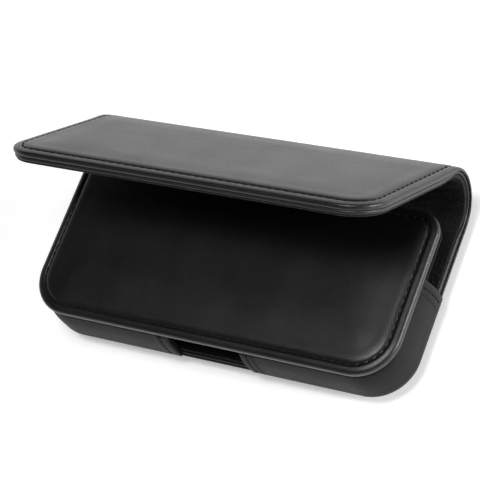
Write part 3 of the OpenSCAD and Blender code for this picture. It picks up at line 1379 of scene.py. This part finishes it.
@dataclass
class Gusset:
    """One gusset wall, from the bottom notch round the corner and up the side."""

    sizes: Sizes
    side: Side
    wall: float = 1.4 * MM
    skin: float = 1.2 * MM
    flange: float = 7 * MM
    bulge: float = 0.55 * MM
    tuck: float = 1.1 * MM
    corner: float = 1.3 * MM
    lap: float = 0.6 * MM
    lip: float = 1.5 * MM
    lip_top: float = 0.03 * MM
    lip_foot: float = 0.35 * MM
    hem: float = 5.2 * MM
    hem_rise: float = 0.4 * MM
    hem_seam: float = 2.7 * MM
    hem_groove: float = 0.22 * MM
    lift: float = 0.08 * MM
    lining_t: float = 0.6 * MM
    lining_trim: float = 0.6 * MM
    lining_cut: float = 10.2 * MM
    marks: tuple = (0, 0.05, 0.15, 0.3, 0.5, 0.9, 1.5, 2.1, 2.4, 2.7, 3, 3.3, 3.9, 4.5,
                    4.9, 5.2, 5.5, 5.9)

    def stations(self, trim: float = 0.0) -> list[tuple]:
        """Gives the path round the pouch's edge.

        Args:
            trim: how much each end is cut back.

        Returns:
            The point, its outward normal and its distance from the nearer end.
        """
        z, sign = self.sizes, self.side.value
        low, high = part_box("gusset_" + self.side.word)
        start = min(abs(low.x), abs(high.x)) + trim
        r = z.bottom_r
        run = z.half - r - start
        turn = r * math.pi / 2
        total = run + turn + (high.y - trim - (z.bottom + r))
        marks = np.array(self.marks) * MM
        between = steps(marks[-1] + MM, total - marks[-1] - MM, 1.4 * MM)
        found = []
        for t in np.concatenate([marks, between, total - marks[::-1]]):
            if t < run:
                point, normal = (start + t, z.bottom), (0.0, -1.0)
            elif t < run + turn:
                a = (t - run) / r
                normal = (math.sin(a), -math.cos(a))
                point = (z.half - r + r * normal[0], z.bottom + r + r * normal[1])
            else:
                point, normal = (z.half, z.bottom + r + t - run - turn), (1.0, 0.0)
            place, outward = ((sign * v[0], v[1]) for v in (point, normal))
            found.append((place, outward, float(min(t, total - t))))
        return found

    def section(self, end: float) -> list[tuple]:
        """Gives the wall's section, a channel that opens inwards.

        Args:
            end: the distance from the nearer end.

        Returns:
            The section's points, as the distance inwards and the height.
        """
        low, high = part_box("gusset_" + self.side.word)
        height = high.z - low.z
        at = np.array(end)
        doubled = self.hem_rise * float(1 - ease(at, self.hem - 0.5 * MM, self.hem))
        pressed = self.hem_groove * float(hump(at, self.hem_seam, 0.4 * MM))
        rounded = float(round_over(at, 0.6 * MM))
        foot = low.z - self.lip
        outer = [(-self.lip_top, foot), (-self.lip_foot, foot)]
        for u in np.linspace(0, 1, 15):
            profile = self.bulge * math.sin(math.pi * u) - self.tuck * u**3
            turned = 1 - math.sqrt(1 - (1 - min((1 - u) / 0.1, 1)) ** 2)
            lapped = self.lap * (1 - u) ** 4
            flank = math.sin(math.pi * min(max(u, 0.02), 0.98)) ** 0.3
            skin = (doubled - pressed) * flank
            inward = self.corner * turned - profile - lapped - skin + rounded
            outer.append((inward, low.z + u * height))
        t, soft, hard = self.skin, 1.0 * MM, 0.3 * MM
        face = self.wall + self.tuck * 0.5 - min(rounded, hard)
        belly = face - self.tuck * 0.5
        return outer + [
            (self.flange, high.z),
            (self.flange, high.z - t),
            (face + soft, high.z - t),
            (face + hard, high.z - t - hard),
            (face, high.z - t - soft),
            (belly, low.z + height * 0.5),
            (belly, low.z + t + soft),
            (belly + hard, low.z + t + hard),
            (belly + soft, low.z + t),
            (self.flange, low.z + t),
            (self.flange, low.z),
            (-self.lip_top, low.z),
        ]

    def lining_section(self, end: float) -> list[tuple]:
        """Gives the section of the strip that lines the wall.

        Args:
            end: the distance from the nearer end.

        Returns:
            The section's points, as the distance inwards and the height.
        """
        low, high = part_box("gusset_lining_" + self.side.word)
        near = self.wall + GLUE
        far = near + self.lining_t - float(round_over(np.array(end), 0.3 * MM))
        lean = self.tuck * 0.5
        soft = 0.25 * MM
        return [
            (near, low.z + soft),
            (near + lean * 0.2, (low.z + high.z) / 2),
            (near + lean, high.z - soft),
            (far + lean, high.z - soft),
            (far + lean * 0.3, (low.z + high.z) / 2),
            (far, low.z + soft),
        ]

    def pieces(self) -> None:
        """Builds and dresses the wall, its lining and its hem stitches."""
        word, path = self.side.word, self.stations()
        wall = Sweep(path, self.section).build(f"gusset_wall_{word}")
        dress(wall, GUSSET_LEATHER, CASE, f"gusset_{word}")
        inside = self.stations(self.lining_trim)
        strip = Sweep(inside, self.lining_section).build(f"gusset_plush_{word}")
        dress(strip, LINING, CASE, f"gusset_lining_{word}")
        seams = []
        levels = self.section(self.hem_seam)[4:15]
        for (x, y), (nx, ny), end in path:
            if abs(end - self.hem_seam) < MERGE:
                points = np.array([(x - nx * d, y - ny * d, z) for d, z in levels])
                points += np.array([nx, ny, 0]) * self.lift
                seams.append((points, np.tile([nx, ny, 0.0], (len(levels), 1))))
        thread = SMALL_STITCHES.sew(f"gusset_hem_thread_{word}", seams)
        dress(thread, THREAD, CASE, f"gusset_thread_{word}")


# ---- belt loops


@dataclass
class BeltLoop:
    """A strap sewn to the back at both ends, with room for a belt."""

    sizes: Sizes
    side: Side
    thick: float = 1.6 * MM
    edge: float = 0.6 * MM
    groove: float = 0.09 * MM
    seam: float = 5 * MM
    seam_in: float = 1.6 * MM
    seam_gap: float = 0.7 * MM
    lift: float = 0.03 * MM
    rise: float = 6.5 * MM
    corner: float = 1.5 * MM

    def pieces(self) -> None:
        """Builds and dresses the strap and its thread."""
        word = self.side.word
        low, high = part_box("belt_loop_" + word)
        middle = (low + high) / 2
        half = (high.x - low.x) / 2
        reach = (high.y - low.y) / 2
        drop = high.z - low.z - self.thick
        end = reach - self.seam

        def level(s: Array) -> Array:
            """Returns the height of the strap's middle surface."""
            past = ease(abs(s), end - self.rise, end)
            return low.z + self.thick / 2 + drop * past

        def place(x: Array, s: Array, h: Array) -> Array:
            """Returns points at a height off the strap's middle surface."""
            tiny = 0.01 * MM
            slope = (level(s + tiny) - level(s - tiny)) / (2 * tiny)
            size = np.sqrt(1 + slope**2)
            along = middle.y + s - h * slope / size
            return np.stack([middle.x + x, along, level(s) + h / size], 1)

        def face(d: Array, x: Array, s: Array) -> Array:
            """Returns half the strap's thickness, with its edges rounded."""
            sewn = self.groove * hump(d, 2 * MM, 0.5 * MM)
            return self.thick / 2 - round_over(d, self.edge) - sewn

        def under(d: Array, x: Array, s: Array) -> Array:
            """Returns the heights of the face turned away from the back."""
            return -face(d, x, s)

        stops = [self.corner - reach, -end, self.rise - end, end - self.rise, end,
                 reach - self.corner]
        fine = [1.2 * MM, 0.5 * MM, 2.5 * MM, 0.5 * MM, 1.2 * MM]
        rows = [steps(a, b, p)[:-1] for a, b, p in zip(stops, stops[1:], fine)]
        outline = Outline(half, -reach, reach, self.corner, self.corner, 5)
        insets = [d * MM for d in (0, 0.06, 0.2, 0.4, 0.6, 1.0, 1.4)]
        rows = np.concatenate([*rows, stops[-1:]])
        slab = Slab(outline, insets, face, under, place, rows, pitch_x=2.5 * MM)
        strap = slab.build(f"belt_strap_{word}")
        dress(strap, OUTER_LEATHER, CASE, f"belt_loop_{word}")
        seams = []
        side = half - self.seam_in
        for sign in (-1, 1):
            near, far = sign * (end + self.seam_gap), sign * (reach - self.seam_in)
            corners = [(-side, near), (side, near), (side, far), (-side, far)]
            corners.append(corners[0])
            for (x0, s0), (x1, s1) in zip(corners, corners[1:]):
                t = steps(0, 1, 0.25)
                x, s = x0 + (x1 - x0) * t, s0 + (s1 - s0) * t
                h = np.full_like(x, -self.thick / 2 + self.lift)
                seams.append((place(x, s, h), np.tile([0.0, 0.0, -1.0], (len(t), 1))))
        thread = SMALL_STITCHES.sew(f"belt_strap_thread_{word}", seams)
        dress(thread, THREAD, CASE, f"belt_loop_thread_{word}")


# ---- frame and stage


class Core:
    """The frame's own nodes: boards, keepers and magnets stay, the rest is hidden."""

    FINISHES = {
        "board": BOARD,
        "keeper": KEEPER_STEEL,
        "magnet": MAGNET_NICKEL,
        "foam": FOAM,
        "lining": LINING,
        "thread": THREAD,
        "gusset": GUSSET_LEATHER,
    }

    def dress(self) -> None:
        """Gives every node of the frame its material."""
        for name, node in frame["nodes"].items():
            words = (word for word in self.FINISHES if word in name)
            finish = self.FINISHES.get(next(words, ""), OUTER_LEATHER)
            node.data.materials.clear()
            node.data.materials.append(finish.material())
            log.info("%s: %s", name, finish.name)


@dataclass
class Softbox:
    """A large soft lamp."""

    name: str
    place: tuple
    target: tuple
    size: float
    power: float

    def light(self) -> None:
        """Puts the lamp in the scene."""
        lamp = bpy.data.lights.new(self.name, "AREA")
        lamp.shape, lamp.size, lamp.energy = "SQUARE", self.size, self.power
        made = put(self.name, lamp)
        made.location = self.place
        aim = Vector(self.target) - Vector(self.place)
        made.rotation_euler = aim.to_track_quat("-Z", "Y").to_euler()


@dataclass
class Studio:
    """The pale sweep, the soft light and the camera."""

    sweep: float = 3.0
    walls: float = 1.0
    ceiling: float = 0.02
    wall_falls: float = 2.0
    wall_curve: float = 1.5
    eye: tuple = (0.3437, -0.2105, 0.5655)
    target: tuple = (-0.0045, 0.0032, 0.015)
    upright: tuple = (-0.1536, 0.8845, 0.4405)
    lens: float = 150.0
    sensor: float = 36.0
    reach: tuple = (0.01, 20.0)
    lamps: tuple = (
        Softbox("key", (0.12, -0.09, 1.2), (0.03, 0.0, 0.0), 0.42, 9.5),
        Softbox("side", (1.2, 0.25, 0.35), (0.0, 0.0, 0.0), 0.5, 14.0),
    )

    def floor(self) -> None:
        """Lays the sweep under the pouch."""
        grid = steps(-self.sweep, self.sweep, 0.5)
        mesh = bpy.data.meshes.new("floor")
        points = [(x, y, 0.0) for y in grid for x in grid]
        mesh.from_pydata(points, [], quads(len(grid), len(grid)))
        mesh.materials.append(SWEEP.material())
        put("floor", mesh)

    def world(self) -> None:
        """Sets the light of the pale walls under a dark ceiling."""
        world = bpy.data.worlds.new("studio")
        world.use_nodes = True
        world.node_tree.nodes.clear()
        graph = Graph(world.node_tree)
        towards = graph.value("ShaderNodeTexCoord", {}, {}, "Generated")
        height = graph.value("ShaderNodeSeparateXYZ", {}, {0: towards}, "Z")
        wall = (1 - height * self.wall_falls).clamped() ** self.wall_curve
        light = wall * (self.walls - self.ceiling) + self.ceiling
        glow = {"Color": grey(1.0), "Strength": light}
        shade = graph.value("ShaderNodeBackground", {}, glow)
        graph.node("ShaderNodeOutputWorld", {}, {"Surface": shade})
        bpy.context.scene.world = world
        bpy.context.scene.view_settings.view_transform = "Standard"

    def camera(self) -> None:
        """Stands the camera at its place."""
        lens = bpy.data.cameras.new("camera")
        lens.lens, lens.sensor_width = self.lens, self.sensor
        lens.clip_start, lens.clip_end = self.reach
        made = put("camera", lens)
        back = (Vector(self.eye) - Vector(self.target)).normalized()
        right = Vector(self.upright).cross(back).normalized()
        up = back.cross(right)
        turn = [[right[i], up[i], back[i], self.eye[i]] for i in range(3)]
        made.matrix_world = Matrix([*turn, [0, 0, 0, 1]])
        bpy.context.scene.camera = made

    def set_up(self) -> None:
        """Sets up the whole stage."""
        self.floor()
        self.world()
        for lamp in self.lamps:
            lamp.light()
        self.camera()


def main() -> None:
    """Builds the pouch, sub-assembly by sub-assembly."""
    logging.basicConfig(level=logging.INFO, format="%(message)s")
    Core().dress()
    wrap = Wrap(SIZES)
    wrap.layers()
    wrap.foam()
    wrap.seams()
    front = Front(SIZES)
    front.pieces()
    front.seam()
    for side in Side:
        Gusset(SIZES, side).pieces()
        BeltLoop(SIZES, side).pieces()
    Studio().set_up()


if __name__ == "__main__":
    main()
